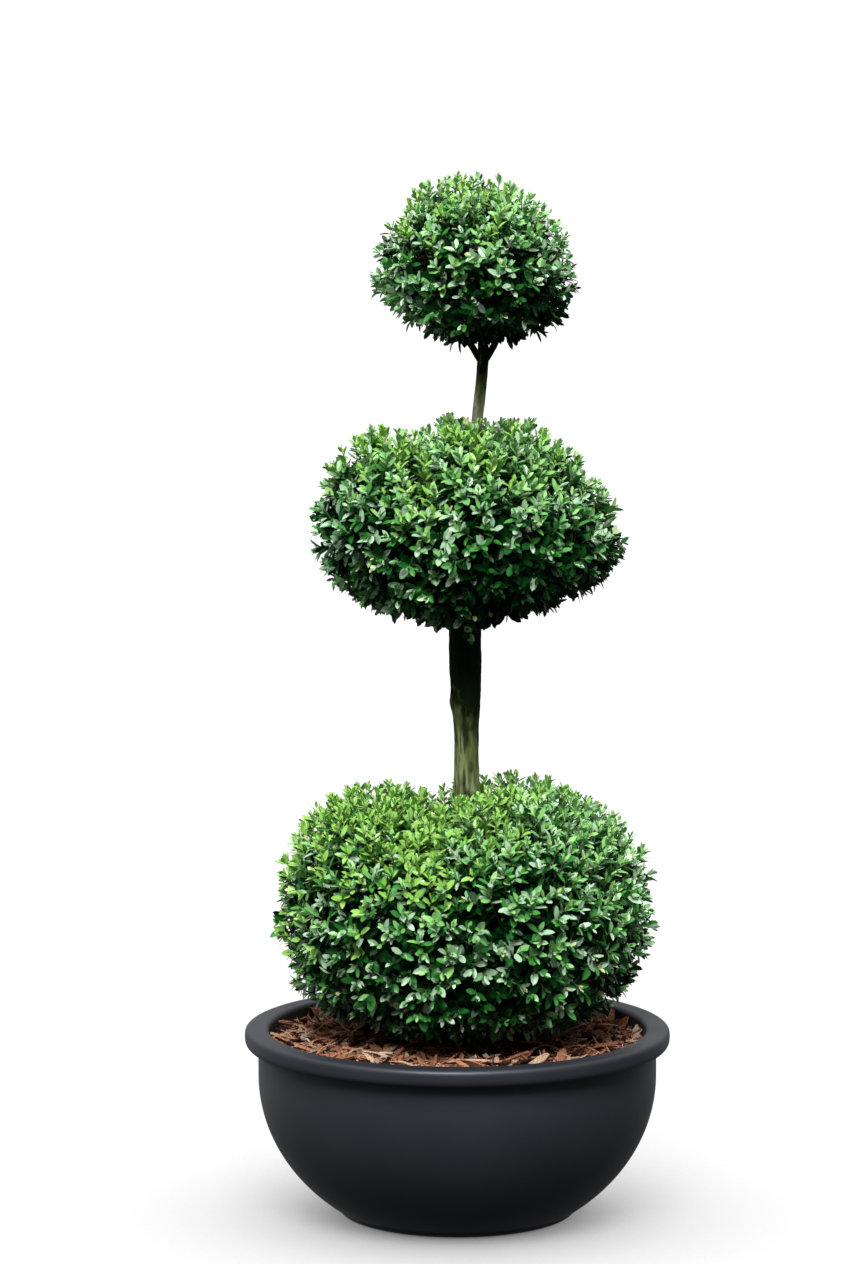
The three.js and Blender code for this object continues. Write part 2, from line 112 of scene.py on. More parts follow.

# Each tier's outline, as in the part's source: cleft (depth, lean, spread) and swellings (turn, lean, size)
# Then its shoots and leaves, how fresh and lit, sunny and sheen-painted they are, with painted light above
# and on the lit left and painted shade below, and its hanging sprigs: (x, y, z, how fresh and lit)
tiers = [
    Values(
        name="low", seed=11, x=9.5, widest=436, radius=265, rise=197, drop=170, squareness=2.5,
        cleft=(42, -17, 17),
        swellings=[(0, -5, 0.045), (0, 48, -0.028), (180, 53, 0.03), (180, -5, -0.008)],
        shoots=1200, inner=1330, limbs=16, dip=24, leaf=19.4, slim=0.445,
        tone=0.03, slope=0.86, shade=0.36, lit_left=0.0, sunny=0.95, sun_side=0.65, waxy=0.46,
        sprigs=[],
    ),
    Values(
        name="middle", seed=23, x=12, widest=959, radius=206, rise=190, drop=114, squareness=2,
        cleft=(27, -24, 13),
        swellings=[(180, 37, 0.11), (0, -10, 0.17), (0, 12, -0.05), (0, -43, -0.17), (0, -85, 0.07)],
        shoots=760, inner=960, limbs=12, dip=17, leaf=19.5, slim=0.48,
        tone=-0.38, slope=1.5, shade=0.28, lit_left=1.5, sunny=0.5, sun_side=0.2, waxy=0.55,
        sprigs=[(-31, -60, 853, 0.5), (16, -56, 833, -0.5), (-8, -62, 868, -0.6)],
    ),
    Values(
        name="top", seed=37, x=22.8, widest=1327, radius=141, rise=146, drop=95, squareness=2.05,
        cleft=(3, 3, 20),
        swellings=[(180, -28, -0.09), (180, 12, 0.04), (180, 38, -0.04), (180, 66, 0.05), (0, 50, -0.04),
                   (0, -33, 0.11), (0, -72, -0.14)],
        shoots=425, inner=490, limbs=7, dip=0, leaf=17.6, slim=0.48,
        tone=-0.34, slope=1.5, shade=0.34, lit_left=2.0, sunny=0.35, sun_side=0.2, waxy=0.58,
        sprigs=[],
    ),
]
# All outlines: small lumps in waves round and up, how wide a swelling is, and the step that finds a slope
outline = Values(lumps=0.03, round_waves=(3, 5), lean_waves=(2, 4), swelling_spread=29, nudge=2)
# How directions are spread: the steps that add up the area, and where in its own share of it each one may lie
spacing = Values(leans=2001, within=(0.1, 0.9))

# A shoot: its twig, how deep its tip lies in an outer and an inner set, and the shares of the ways it grows
shoot = Values(
    length=54, base_radius=1.0, tip_radius=0.55, sides=3, bend=1, trunk_gap=7,
    outer_jitter=0.35, tip_inset=3.2, ragged=14, inner_jitter=0.6, inner_from=20, inner_depth=36,
    clump=75, clump_depth=14, clump_full=0.45, dip_width=60,
    outward=0.8, upward=0.6, upward_from=(-0.3, 0.6), level=0.7, level_from=(0.1, 0.9),
    stray=0.24, lowest=-0.35,
)
# The way of a hanging sprig
HANGING = np.array([-0.2, -0.85, -0.4])
# How fresh and how lit a shoot's growth is, by patches, by painted shade below and in the inner set, and how
# far it has to face the sun
growth = Values(
    lowest=-0.35, patch=90, patch_depth=0.45, stray=0.2, shaded_from=(-0.2, 0.75),
    inner_fall=(1.2, 0.55), inner_from=(0.1, 0.8), sun_above=0.75, sun_from=(0.15, 0.8),
)

# A shoot's pairs of leaves from its tip down, by distance from the tip, size, and angle from the shoot
PAIR_DEPTH = np.array([0.0, 4.0, 9.5, 16.0, 23.5, 32.0, 41.0])
PAIR_SIZE = np.array([0.52, 0.8, 0.97, 1.0, 1.0, 0.97, 0.92])
PAIR_SPLAY = np.radians([20, 38, 52, 62, 68, 72, 75])
# A leaf: how it strays, what differs in fresh growth, what it faces, its size and shape, and its clearances
leaf = Values(
    axis_stray=0.02, turn_stray=0.18, splay_stray=0.17, stretch=(0.85, 1.15),
    fresh_from=(0.2, 0.8), fresh_splay=0.85, fresh_stretch=1.2,
    face_along=0.75, face_out=0.2, face_up=0.4, face_stray=0.2,
    size=1.06, size_fall=0.16, size_stray=0.09, length_stray=0.08, slim_stray=0.04,
    fold=(-0.05, 0.5), droop=(-0.03, 0.17), trunk_gap=2, below_rim=8,
)
# Half a leaf: its points by their share of its length and half width, the midrib first, and its faces
HALF_ALONG = np.array([0, 0.2, 0.5, 0.83, 1, 0.2, 0.5, 0.83])
HALF_ASIDE = np.array([0, 0, 0, 0, 0, 0.64, 1.0, 0.66])
HALF_FACES = np.array([[0, 1, 5], [1, 2, 6], [1, 6, 5], [2, 3, 7], [2, 7, 6], [3, 4, 7]])
LEAVES_IN_PIECE = 16000

# Orders of branches from the shoots inwards: share of the reach where they fork, how many meet, and radius
BRANCH_ORDERS = [(0.72, 9, 1.7), (0.46, 7, 3.0)]
branch = Values(jitter=0.2, sag=0.06, sides=4, bend=0.06)
# Limbs: how their height on the trunk follows their ends, its limits, and their radius
limb = Values(follow=0.55, fall=0.2, lowest=0.8, highest=0.7, below_tip=8, radius=5.5, trunk_share=0.5)

# Plain base colours of the leaves and their gloss, six from the most shaded to the newest and most lit, so
# painted shade and painted light, then three others: sunny leaves in painted sunlight, a pale painted sheen,
# and pale tips
LEAF_TINTS = {
    "darkest": ((0.001, 0.024, 0.003), 0.15),
    "deep": ((0.007, 0.090, 0.010), 0.35),
    "middling": ((0.041, 0.220, 0.032), 0.7),
    "light": ((0.150, 0.385, 0.120), 1.0),
    "fresh_and_lit": ((0.198, 0.465, 0.118), 0.8),
    "bright": ((0.250, 0.510, 0.152), 0.8),
    "sunny": ((0.228, 0.470, 0.080), 0.8),
    # A pale grey-green tint that is painted sheen, the sky's reflection on leaves that face up
    "waxy": ((0.315, 0.485, 0.305), 0.55),
    "pale": ((0.540, 0.570, 0.300), 0.4),
}
LEAF_ROUGHNESS = 0.38
# How tints are dealt out: the steps between the first six, each pair down a shoot darker by age and by
# painted shade, and the shares of the painted sheen and of the pale tips
TINT_STEPS = [-0.75, -0.42, -0.1, 0.3, 0.62]
tinting = Values(
    waxy_over=TINT_STEPS[0], lit_over=TINT_STEPS[2], age_step=0.36, lift=0.22, stray=0.32,
    waxy_where_dim=0.36, waxy_on_top=0.4, top_from=(0.15, 0.75), pale_share=0.07,
)
# Base colour, roughness and gloss of the twigs
TWIG_LOOKS = {"green_twig": ((0.12, 0.19, 0.05), 0.6, 0.5), "brown_twig": ((0.06, 0.05, 0.032), 0.85, 0.25)}

# Base colours of the bark mulch, each with its share of the strips
MULCH_TINTS = {
    "red": ((0.350, 0.150, 0.081), 0.29),
    "brown": ((0.220, 0.094, 0.050), 0.25),
    "dark": ((0.018, 0.006, 0.003), 0.19),
    "tan": ((0.410, 0.262, 0.172), 0.16),
    "grey": ((0.370, 0.290, 0.225), 0.11),
}

# Looks of the other materials: a noise is (scale, detail, stretch), and a bump is (strength, depth)
resin_look = Values(
    tints=[(0.0115, 0.0127, 0.0167), (0.0170, 0.0184, 0.0241)], shine=(0.86, 0.93, 1.0, 1),
    cloud=(9, 3), cloud_range=(0.3, 0.7), roughness=(0.45, 0.55), grain=(900, 2), bump=(0.1, 0.0004),
)
# The planter's inside is darker than its outside: painted shade on the inner wall
lining_shade_look = Values(colour=(0.004, 0.004, 0.0045), roughness=0.7)
soil_look = Values(
    tints=[(0.004, 0.0025, 0.0015), (0.026, 0.015, 0.010)], roughness=0.95, specular=0.2,
    crumbs=(160, 5), bump=(0.6, 0.003),
)
mulch_look = Values(
    shades=(0.62, 1.45), roughness=0.8, specular=0.12,
    grain=(520, 3), grain_range=(0.36, 0.64), bump=(0.5, 0.002),
)
# A ragged noise shifts the heights where the painted shade, partly dark moss, and the pale neck come and go,
# and they lie higher on the lit left side, as painted light
bark_look = Values(
    roughness=0.9, specular=0.12, streaks=(190, 5, (1, 1, 0.16)), grain=(620, 3), bump=(0.5, 0.0012),
    green=[(0.023, 0.034, 0.009), (0.12, 0.150, 0.049)], green_range=(0.36, 0.66),
    brown=(0.12, 0.105, 0.045), patches=(60, 3), brown_range=(0.5, 0.66), brown_most=0.6,
    grey=[(0.079, 0.100, 0.036), (0.230, 0.268, 0.124)], grey_range=(0.36, 0.6),
    fissure=(0.016, 0.018, 0.007), fissure_range=(0.08, 0.46),
    ragged=(110, 4, (1, 1, 0.6)), ragged_range=(0.3, 0.7), ragged_depth=0.025, cleaner_left=0.03,
    neck=(0.40, 0.37, 0.31), neck_from=(1.06, 1.09), neck_to=(1.17, 1.11), neck_most=0.9,
    soot=(0.002, 0.009, 0.001), soot_from=(0.688, 0.725), soot_to=(1.06, 1.12), soot_shares=(0.98, 0.05),
    fork_soot_from=(1.175, 1.2), fork_soot=0.9,
)

# Stage: a floor that glows where the sky is open above it, as painted light with a painted contact shadow
# near the plant, the light of sky and ground, the key, the camera
floor_look = Values(half=160, grey=0.08, reach=1.5, samples=8, open_range=(0.0, 0.95), glow=(0.12, 0.95))
sky_look = Values(brightest=(-0.1, 0.35, 0.9), towards=(-0.1, 1.0), strength=(0.03, 1.0))
ground_look = Values(
    below=(-0.02, -0.15), strength=(0.0, 0.2), deeper=(-0.25, -0.8), deeper_share=(1.0, 0.15),
    across=(-1.0, 1.0), across_share=(1.3, 0.62),
)
key_look = Values(energy=5.5, angle=28, heading=(0.05, 0.62, -0.78))
view = Values(lens=164.4, clip_end=500, eye=(0, -8.0, 1.927), aim=(-0.047, 0, 0.831))


# Materials

def plain(name, colour, roughness, specular=0.5):
    made = bpy.data.materials.new(name)
    made.use_nodes = True
    shader = made.node_tree.nodes["Principled BSDF"]
    shader.inputs["Base Color"].default_value = (*colour, 1)
    shader.inputs["Roughness"].default_value = roughness
    shader.inputs["Specular IOR Level"].default_value = specular
    return made


class Nodes:
    """Short forms for wiring the nodes of a material or of the world."""

    def __init__(self, made):
        self.tree = made.node_tree
        self.shader = self.tree.nodes.get("Principled BSDF")

    def put(self, socket, value):
        if hasattr(value, "is_output"):
            self.tree.links.new(value, socket)
        else:
            socket.default_value = value

    def wire(self, **inputs):
        for name, value in inputs.items():
            self.put(self.shader.inputs[name.replace("_", " ").title()], value)

    def add(self, kind, inputs, **settings):
        node = self.tree.nodes.new(kind)
        for key, value in settings.items():
            setattr(node, key, value)
        for key, value in inputs.items():
            self.put(node.inputs[key], value)
        return node

    def place(self, scale=(1, 1, 1)):
        where = self.add("ShaderNodeTexCoord", {}).outputs["Object"]
        return self.add("ShaderNodeMapping", {"Vector": where, "Scale": scale}).outputs["Vector"]

    def height(self):
        return self.add("ShaderNodeSeparateXYZ", {"Vector": self.place()}).outputs["Z"]

    def noise(self, scale, detail, stretch=(1, 1, 1)):
        inputs = {"Vector": self.place(stretch), "Scale": scale, "Detail": detail}
        return self.add("ShaderNodeTexNoise", inputs).outputs["Fac"]

    def attribute(self, name):
        return self.add("ShaderNodeAttribute", {}, attribute_name=name).outputs["Fac"]

    def span(self, value, low, high, to_low=0.0, to_high=1.0):
        inputs = {"Value": value, "From Min": low, "From Max": high, "To Min": to_low, "To Max": to_high}
        return self.add("ShaderNodeMapRange", inputs).outputs["Result"]

    def mix(self, share, first, second):
        node = self.add("ShaderNodeMix", {"Factor": share}, data_type="RGBA")
        for name, value in (("A", first), ("B", second)):
            socket = next(each for each in node.inputs if each.name == name and each.type == "RGBA")
            self.put(socket, value if hasattr(value, "is_output") else (*value, 1))
        return next(each for each in node.outputs if each.type == "RGBA")

    def maths(self, operation, first, second):
        return self.add("ShaderNodeMath", {0: first, 1: second}, operation=operation).outputs["Value"]

    def bump(self, height, strength, distance):
        inputs = {"Height": height, "Strength": strength, "Distance": distance}
        return self.add("ShaderNodeBump", inputs).outputs["Normal"]


def planter_material():
    """Dark resin, a little cloudy, with a fine grain."""
    look = resin_look
    made = plain("planter_resin", look.tints[1], look.roughness[1])
    nodes = Nodes(made)
    cloud = nodes.noise(*look.cloud)
    nodes.wire(base_color=nodes.mix(cloud, *look.tints), specular_tint=look.shine,
               roughness=nodes.span(cloud, *look.cloud_range, *look.roughness),
               normal=nodes.bump(nodes.noise(*look.grain), *look.bump))
    return made


def soil_material():
    look = soil_look
    made = plain("soil_earth", look.tints[1], look.roughness, look.specular)
    nodes = Nodes(made)
    crumbs = nodes.noise(*look.crumbs)
    nodes.wire(base_color=nodes.mix(crumbs, *look.tints), normal=nodes.bump(crumbs, *look.bump))
    return made


def mulch_material(name, colour):
    """Torn bark: one tint, with a fine grain of darker and lighter flecks."""
    look = mulch_look
    made = plain("mulch_" + name, colour, look.roughness, look.specular)
    nodes = Nodes(made)
    grain = nodes.noise(*look.grain)
    dark, light = (tuple(share * value for value in colour) for share in look.shades)
    nodes.wire(base_color=nodes.mix(nodes.span(grain, *look.grain_range), dark, light),
               normal=nodes.bump(grain, *look.bump))
    return made


def bark_material():
    """Grey-green bark with dark fissures, pale on its neck and, as painted light, on its lit left side, with
    painted shade, partly dark moss, under the middle tier and painted shade at the fork.
    """
    look = bark_look
    made = plain("bark", look.brown, look.roughness, look.specular)
    nodes = Nodes(made)
    streaks = nodes.noise(*look.streaks)
    green = nodes.mix(nodes.span(streaks, *look.green_range), *look.green)
    in_patches = nodes.span(nodes.noise(*look.patches), *look.brown_range, 0, look.brown_most)
    brown = nodes.mix(in_patches, green, look.brown)
    grey = nodes.mix(nodes.span(streaks, *look.grey_range), *look.grey)
    ragged = nodes.span(nodes.noise(*look.ragged), *look.ragged_range, -look.ragged_depth, look.ragged_depth)
    height = nodes.maths("ADD", nodes.height(), nodes.maths("ADD", ragged, nodes.attribute("cleaner")))
    under_neck_end = nodes.span(height, *look.neck_to, 0.0, look.neck_most)
    on_neck = nodes.maths("MULTIPLY", nodes.span(height, *look.neck_from), under_neck_end)
    grey = nodes.mix(on_neck, grey, look.neck)
    # The pale mark is the bark's own pale colour low down, on the ribs and on the neck, and painted light on
    # the lit left side
    mixed = nodes.mix(nodes.attribute("pale"), brown, grey)
    fissured = nodes.mix(nodes.span(nodes.attribute("relief"), *look.fissure_range), look.fissure, mixed)
    # Painted shade, partly dark moss, under the middle tier, and painted shade at the fork inside the top
    # tier
    under_moss_and_shade_end = nodes.span(height, *look.soot_to, *look.soot_shares)
    moss_and_shade_mask = nodes.maths("MULTIPLY", nodes.span(height, *look.soot_from), under_moss_and_shade_end)
    moss_and_shade_mask = nodes.maths("ADD", moss_and_shade_mask, nodes.span(height, *look.fork_soot_from, 0.0, look.fork_soot))
    rough = nodes.maths("ADD", nodes.noise(*look.grain), streaks)
    nodes.wire(base_color=nodes.mix(moss_and_shade_mask, fissured, look.soot), normal=nodes.bump(rough, *look.bump))
    return made


# Meshes

def joined(name, points, faces, made, slot, replaces, smooth=True, **marks):
    """One piece from arrays of points and of triangles or quads, riding on the plant's one body."""
    points, faces = np.asarray(points, float).reshape(-1, 3), np.asarray(faces, np.int32)
    mesh = bpy.data.meshes.new(name)
    mesh.vertices.add(len(points))
    mesh.vertices.foreach_set("co", (points * MM).astype(np.float32).ravel())
    mesh.loops.add(faces.size)
    mesh.loops.foreach_set("vertex_index", faces.ravel())
    mesh.polygons.add(len(faces))
    mesh.polygons.foreach_set("loop_start", np.arange(0, faces.size, faces.shape[1], dtype=np.int32))
    mesh.polygons.foreach_set("use_smooth", np.full(len(faces), smooth))
    mesh.update(calc_edges=True)
    mesh.validate()
    mesh.materials.append(made)
    for mark, values in marks.items():
        layer = mesh.attributes.new(mark, "FLOAT", "POINT")
        layer.data.foreach_set("value", values.astype(np.float32).ravel())
    piece = bpy.data.objects.new(name, mesh)
    bpy.context.scene.collection.objects.link(piece)
    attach(piece, "root")
    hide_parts(replaces)


def unit(vectors):
    return vectors / np.maximum(np.linalg.norm(vectors, axis=-1, keepdims=True), TINY)


def smoothstep(value, low, high):
    share = np.clip((value - low) / (high - low), 0, 1)
    return share * share * (3 - 2 * share)


def lerp(first, second, share):
    return first + (second - first) * share


def bell(distance, spread):
    return np.exp(-((distance / spread) ** 2))


def turns_round(sides):
    return np.arange(sides) * FULL_TURN / sides


def between_rings(rings, sides):
    """Quads between rings of points that follow one another."""
    ring, side = np.meshgrid(np.arange(rings - 1), np.arange(sides), indexing="ij")
    here, beside = (ring * sides + side).ravel(), (ring * sides + (side + 1) % sides).ravel()
    return np.stack([here, beside, beside + sides, here + sides], 1)


def repeated(faces, count, points_each):
    """The faces of count pieces alike, numbered on."""
    return (faces[None] + (np.arange(count) * points_each)[:, None, None]).reshape(-1, faces.shape[1])


def turned(profile, sides):
    """Points and quads of a surface of revolution about +Z from (radius, height) points."""
    turn = turns_round(sides)
    radius, height = np.asarray(profile, float).T
    points = np.stack([np.outer(radius, np.cos(turn)), np.outer(radius, np.sin(turn)),
                       np.repeat(height[:, None], sides, 1)], -1)
    return points.reshape(-1, 3), between_rings(len(radius), sides)


def rings_along(middles, ways, radii, sides):
    """Points of rings of the given radii round a line's middles, square to its ways."""
    upright = np.abs(ways[..., 2:]) > NEARLY_UPRIGHT
    aside = unit(np.cross(ways, np.where(upright, SIDEWAYS, UP)))
    other = np.cross(ways, aside)
    turn = turns_round(sides)
    ring = aside[..., None, :] * np.cos(turn)[:, None] + other[..., None, :] * np.sin(turn)[:, None]
    return middles[..., None, :] + ring * radii[..., None]


def twigs(starts, bends, ends, start_radius, end_radius, sides):
    """Tapering twigs, each from its start by its bend to its end. Returns points and quads."""
    middles = np.stack([starts, bends, ends], 1)
    rings = middles.shape[1]
    ways = np.repeat(unit(ends - starts)[:, None], rings, 1)
    taper = np.array([start_radius, (start_radius + end_radius) / 2, end_radius])
    points = rings_along(middles, ways, np.tile(taper[:, None], (len(starts), 1, sides)), sides)
    return points.reshape(-1, 3), repeated(between_rings(rings, sides), len(starts), rings * sides)


# Planter

def arc(centre, across, up, start, end, steps, power=2):
    """Points along part of an ellipse, or of a squarer curve where the power is over 2."""
    angle = np.radians(np.linspace(start, end, steps + 1))
    x, z = (np.sign(values) * np.abs(values) ** (2 / power) for values in (np.cos(angle), np.sin(angle)))
    return np.stack([centre[0] + across * x, centre[1] + up * z], 1)


def bowl_side(low, high, inset, steps):
    """The ellipse of the bowl's side between two heights, outside (inset 0) or inside."""
    depth = pot.bowl_depth - inset
    start, end = (math.asin((pot.shoulder - height) / depth) for height in (low, high))
    angle = np.linspace(start, end, steps + 1)
    return np.stack([(pot.body_radius - inset) * np.cos(angle), pot.shoulder - depth * np.sin(angle)], 1)


def outer_profile():
    """The planter from the middle of its foot up the side, over the rolled rim and down to its inside."""
    side = bowl_side(pot.foot_round, pot.shoulder, 0, pot.side_steps)
    flat = bowl_side(0, pot.shoulder, 0, 1)[0, 0] - pot.foot_round
    lip = pot.body_radius - pot.wall + pot.inner_round
    return np.concatenate([
        [[pot.axis, 0], [flat / 2, 0]],
        arc((flat, pot.foot_round), side[0, 0] - flat, pot.foot_round, -90, 0, pot.foot_steps)[:-1],
        side,
        [[pot.body_radius, pot.rim_foot - gap] for gap in pot.below_rim],
        arc((pot.body_radius, pot.rim_widest), pot.rim_radius - pot.body_radius,
            pot.rim_widest - pot.rim_foot, *pot.under_rim, pot.rim_steps, pot.rim_power),
        arc((pot.rim_radius - pot.rim_crown, pot.rim_widest), pot.rim_crown,
            pot.height - pot.rim_widest, *pot.over_rim, pot.rim_steps, pot.rim_power),
        arc((lip, pot.height - pot.inner_round), pot.inner_round, pot.inner_round, 90, 180, pot.inner_steps),
    ])


def lining_profile():
    """The planter's inside from its lip down to the middle of its floor."""
    inside = pot.body_radius - pot.wall
    return np.concatenate([
        [[inside, pot.height - pot.inner_round], [inside, pot.shoulder]],
        bowl_side(pot.shoulder, pot.floor, pot.wall, pot.lining_steps),
        [[pot.axis, pot.floor]],
    ])


def make_planter():
    points, quads = turned(outer_profile(), pot.sides)
    joined("planter_bowl", points, quads, planter_material(), "planter", "planter")
    points, quads = turned(lining_profile(), pot.sides)
    # The lining's dark colour is painted shade
    dark = plain("planter_lining", lining_shade_look.colour, lining_shade_look.roughness)
    joined("planter_lining", points, quads, dark, "planter", "planter")


# Mulch

def mulch_height(x, y):
    long, middling, short = mulch.waves
    waves = np.sin(x / long + mulch.wave_start) * np.cos(y / middling)
    waves = waves + mulch.short_wave * np.sin((x - y) / short)
    fall = mulch.edge_fall * smoothstep(np.hypot(x, y), mulch.edge_from, mulch.edge)
    return mulch.top + mulch.swell * waves - fall


def splinters(rng, count, kind):
    """Torn strips of bark lying on the bed: four-sided, bent, and narrow at both ends."""
    rim = pot.body_radius - pot.wall - strip.wall_gap
    away = rim * np.sqrt(rng.uniform((mulch.bare_middle / rim) ** 2, 1, count))
    turn, heading = rng.uniform(0, FULL_TURN, (2, count))
    x, y = away * np.cos(turn), away * np.sin(turn)
    length = lerp(*kind.length, rng.uniform(0, 1, count) ** strip.shortness)
    width, depth = rng.uniform(*kind.width, count), rng.uniform(*kind.depth, count)
    pitch, roll = rng.normal(0, strip.pitch, count), rng.normal(0, strip.roll, count)[:, None]
    along = np.stack([np.cos(heading) * np.cos(pitch), np.sin(heading) * np.cos(pitch), np.sin(pitch)], 1)
    level = unit(np.cross(along, UP))
    over = np.cross(level, along)
    aside, over = level * np.cos(roll) + over * np.sin(roll), over * np.cos(roll) - level * np.sin(roll)
    stations, corners = strip.stations, strip.corners
    girth = rng.uniform(strip.thinnest, strip.thickest, (count, len(stations))) * width[:, None]
    arch = stations[-1] ** 2 - stations**2
    bow = arch * (rng.normal(0, strip.bow, count) * length)[:, None]
    sway = arch * (rng.normal(0, strip.sway, count) * length)[:, None]
    middle = np.stack([x, y, mulch_height(x, y) + rng.uniform(-strip.lift, strip.lift, count)], 1)
    line = (middle[:, None] + along[:, None] * (stations * length[:, None])[..., None]
            + over[:, None] * bow[..., None] + aside[:, None] * sway[..., None])
    points = (line[:, :, None] + aside[:, None, None] * (corners[:, 0] * girth[..., None])[..., None]
              + over[:, None, None] * (corners[:, 1] * depth[:, None, None])[..., None])
    points[..., :2] *= np.minimum(1, rim / np.maximum(np.hypot(points[..., 0], points[..., 1]), 1))[..., None]
    points[..., 2] = np.minimum(points[..., 2], pot.height - strip.below_rim)
    return points.reshape(-1, 3), repeated(strip_faces(), count, len(stations) * len(corners))


def strip_faces():
    """The quads of one strip: its sides and its two ends."""
    rings, sides = len(strip.stations), len(strip.corners)
    first = np.arange(sides)
    last = first + (rings - 1) * sides
    return np.concatenate([between_rings(rings, sides), [first[::-1], last]])


def make_mulch():
    rng = np.random.default_rng(mulch.seed)
    earth = soil_material()
    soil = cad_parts["soil"].data
    soil.materials.clear()
    soil.materials.append(earth)
    rings = np.linspace(pot.body_radius - pot.wall - mulch.bed_gap, mulch.bed_inner, mulch.bed_rings)
    points, quads = turned(np.stack([rings, rings], 1), mulch.bed_sides)
    lumps = rng.normal(0, mulch.bed_lumps, len(points))
    points[:, 2] = mulch_height(points[:, 0], points[:, 1]) - mulch.bed_depth + lumps
    joined("mulch_bed", points, quads, earth, "mulch", "mulch")
    shares = [share for _, share in MULCH_TINTS.values()]
    chips, fibres = rng.multinomial(chip.count, shares), rng.multinomial(fibre.count, shares)
    for (name, (colour, _)), broad, thin in zip(MULCH_TINTS.items(), chips, fibres):
        points, faces = splinters(rng, broad, chip)
        more_points, more_faces = splinters(rng, thin, fibre)
        all_faces = np.concatenate([faces, more_faces + len(points)])
        joined("mulch_" + name, np.concatenate([points, more_points]), all_faces,
               mulch_material(name, colour), "mulch", "mulch", smooth=False)


# Trunk and boughs

def trunk_x(height):
    """The trunk's sideways place at a height, by a smooth curve through its lean."""
    heights, places = np.array(trunk_lean, float).T
    slopes = np.gradient(places, heights)
    at = np.clip(height, heights[0], heights[-1])
    low = np.clip(np.searchsorted(heights, at) - 1, 0, len(heights) - 2)
    step = heights[low + 1] - heights[low]
    share = (at - heights[low]) / step
    ease = share * share * (3 - 2 * share)
    swing = share * (1 - share) * step * ((1 - share) * slopes[low] - share * slopes[low + 1])
    return lerp(places[low], places[low + 1], ease) + swing


def near_foot(height):
    return np.exp(-(height - trunk.foot) / trunk.flare_height)


def trunk_radius(height):
    swelling = smoothstep(height, trunk.swell_from, trunk.swell_full)
    swollen = lerp(trunk.low_radius, trunk.swell_radius, swelling)
    tapered = lerp(swollen, trunk.upper_radius, smoothstep(height, trunk.taper_from, trunk.taper_end))
    tipped = lerp(tapered, trunk.tip_radius, smoothstep(height, trunk.fork, trunk.tip))
    return tipped + (trunk.foot_radius - trunk.low_radius) * near_foot(height)


def bark_relief(points, grains):
    """Height of the bark at points, from about 0 to 1: long fissures with finer cracks among them."""
    def at(x, y, z):
        height = bark_noise.mean
        for grain, layer in zip(grains, bark_noise.layers):
            place = Vector((x / grain, y / grain, z / (grain * layer.stretch) + layer.start))
            height += layer.depth * noise.fractal(place, bark_noise.fall, bark_noise.finer, layer.octaves)
        return height
    return np.array([at(*point) for point in points.reshape(-1, 3)]).reshape(points.shape[:-1])


def make_trunk(bark):
    heights = np.arange(trunk.foot, trunk.tip + 1, trunk.step)
    height, turn = np.meshgrid(heights, turns_round(trunk.sides), indexing="ij")
    degrees = np.degrees(turn)
    mean = trunk_radius(height)
    from_groove = np.arctan2(np.sin(turn - trunk.groove_turn), np.cos(turn - trunk.groove_turn))
    fluted = 1 - smoothstep(height, trunk.taper_from, trunk.taper_end)
    groove = bell(from_groove, trunk.groove_width) * fluted
    lobes = 1 + trunk.lobe_depth * near_foot(height) * np.cos(trunk.lobes * turn)
    relief = bark_relief(np.stack([mean * np.cos(turn), mean * np.sin(turn), height], -1), trunk.grains)
    on_ribs = bell(height - ribs.height, ribs.length) * bell(degrees - ribs.turn, ribs.spread)
    relief = relief + on_ribs * np.cos(FULL_TURN * (degrees - ribs.turn) / ribs.pitch)
    # The left side is the lit one: pale higher up as painted light, while the right is less pale on the neck
    # as painted shade
    left = smoothstep(-np.cos(turn), *pale_and_lit.left)
    neck = smoothstep(height, *pale_and_lit.neck) * (1 - smoothstep(height, *pale_and_lit.neck_end))
    pale = left * (1 - smoothstep(height, *pale_and_lit.below) + neck) + on_ribs
    pale += (1 - left) * (1 - smoothstep(height, *pale_and_lit.foot) + pale_and_lit.neck_right * neck)
    on_knob = bell(height - knob.height, knob.length) * bell(degrees - knob.turn, knob.spread)
    bark_depth = np.minimum(trunk.bark_depth, mean * trunk.bark_share)
    radius = mean * lobes * (1 - trunk.groove_depth * groove) + (relief - bark_noise.mean) * bark_depth
    radius = radius + knob.size * on_knob
    points = np.stack([trunk_x(height) + radius * np.cos(turn), radius * np.sin(turn), height], -1)
    # The lit shift lowers the heights the bark reads on the lit left side, so its painted shade starts higher
    # there, as painted light
    joined("trunk_bark", points, between_rings(len(heights), trunk.sides), bark, "bark", "trunk",
           relief=np.clip(relief - trunk.groove_shade * groove, 0, 1), pale=np.clip(pale, 0, 1),
           cleaner=-bark_look.cleaner_left * left)


def bough_line(turn, share):
    start = np.array([trunk_x(np.array(trunk.fork)), 0, trunk.fork], float)
    bearing, rise = math.radians(turn), math.radians(bough.rise)
    outward = np.array([math.cos(bearing), math.sin(bearing), 0])
    end = start + bough.length * (outward * math.cos(rise) + UP * math.sin(rise))
    half = lerp(start, end, 0.5) + outward * bough.bend
    return lerp(lerp(start, half, share), lerp(half, end, share), share)


def make_bough(name, bark):
    share = np.linspace(0, 1, bough.rings)[:, None]
    middles = bough_line(BOUGH_TURNS[name], share)
    ways = unit(np.gradient(middles, axis=0))
    mean = np.repeat(lerp(bough.base_radius, bough.tip_radius, share), bough.sides, 1)
    relief = bark_relief(rings_along(middles, ways, mean, bough.sides), bough.grains)
    radius = mean + (relief - bark_noise.mean) * bough.bark_depth
    points = rings_along(middles, ways, radius, bough.sides)
    joined(name + "_bark", points, between_rings(bough.rings, bough.sides), bark, "bark", name,
           relief=np.clip(relief, 0, 1))


# Outlines of the foliage

